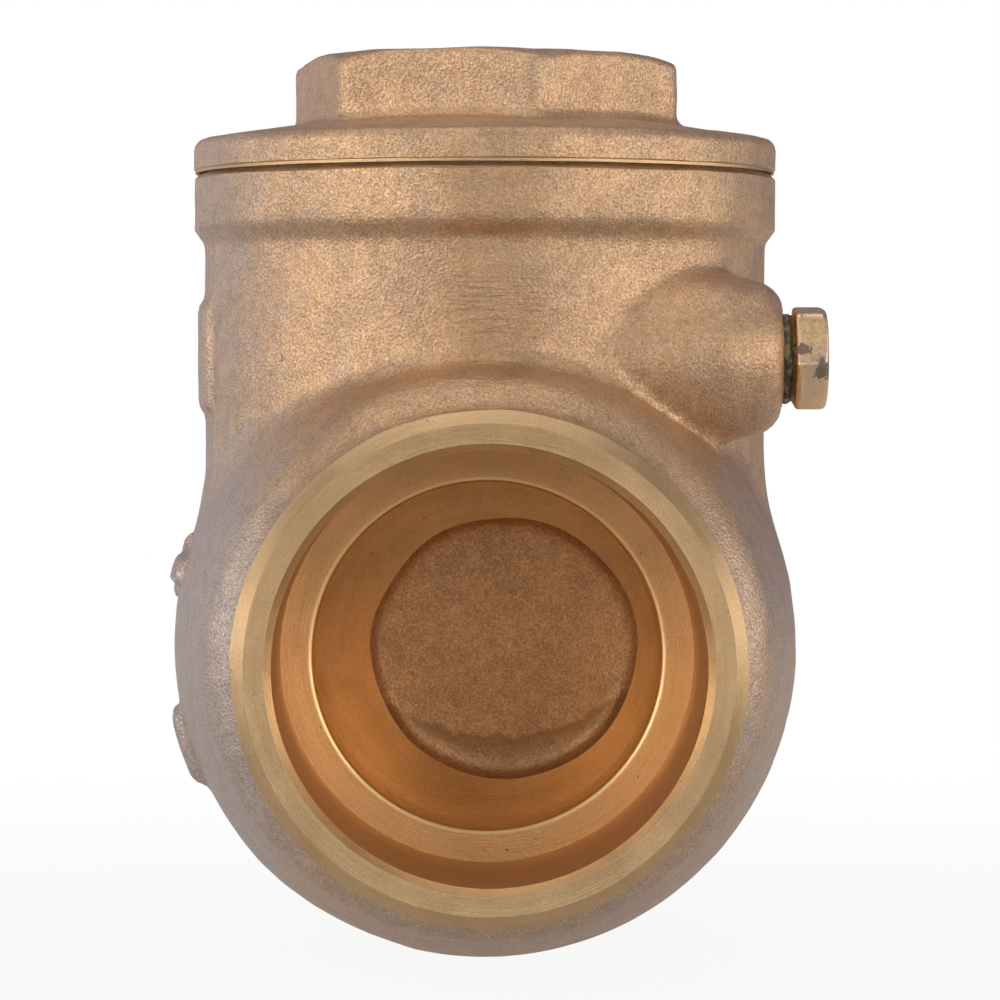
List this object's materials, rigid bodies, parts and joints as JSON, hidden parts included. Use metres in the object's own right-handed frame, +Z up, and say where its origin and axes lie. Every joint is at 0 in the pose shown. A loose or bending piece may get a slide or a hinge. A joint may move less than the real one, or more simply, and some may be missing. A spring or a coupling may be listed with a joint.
{
  "type": "swing check valve",
  "caption": "Cast bronze swing check valve with solder sockets at both ends, a screwed hexagon cap and a hinged disc inside.",
  "frame": {"origin": "centre of the inlet tube stop, on the flow axis", "axes": "+Y along the flow, from inlet to outlet; +Z up to the cap; +X to the hinge pin's plug"},
  "size_m": [0.0581, 0.1, 0.0801],
  "materials": {
    "cast_bronze_body": "sand cast, machined ends",
    "cast_bronze_cap": "sand cast",
    "cast_bronze_arm": "sand cast",
    "turned_bronze": "turned face, cast hollow",
    "gasket_fibre": "pressed fibre",
    "washer_brass": "stamped",
    "nut_brass": "machined",
    "pin_steel": "ground",
    "plug_brass": "machined, stained"
  },
  "bodies": {
    "housing": {"valve_body": "cast_bronze_body", "cap": "cast_bronze_cap", "cap_gasket": "gasket_fibre", "hinge_pin": "pin_steel", "pin_plug": "plug_brass"},
    "arm": {"hinge_arm": "cast_bronze_arm"},
    "flap": {"disc": "turned_bronze", "disc_washer": "washer_brass", "disc_nut": "nut_brass"}
  },
  "joints": [
    {"name": "arm_swing", "type": "hinge", "parent": "housing", "child": "arm", "pos_m": [0, 0.00962, 0.02531], "axis": [1, 0, 0], "range_deg": [0, 60]},
    {"name": "disc_spin", "type": "hinge", "parent": "arm", "child": "flap", "pos_m": [0, 0.0074, 0], "axis": [0, 0.9914, 0.1305], "continuous": true}
  ]
}
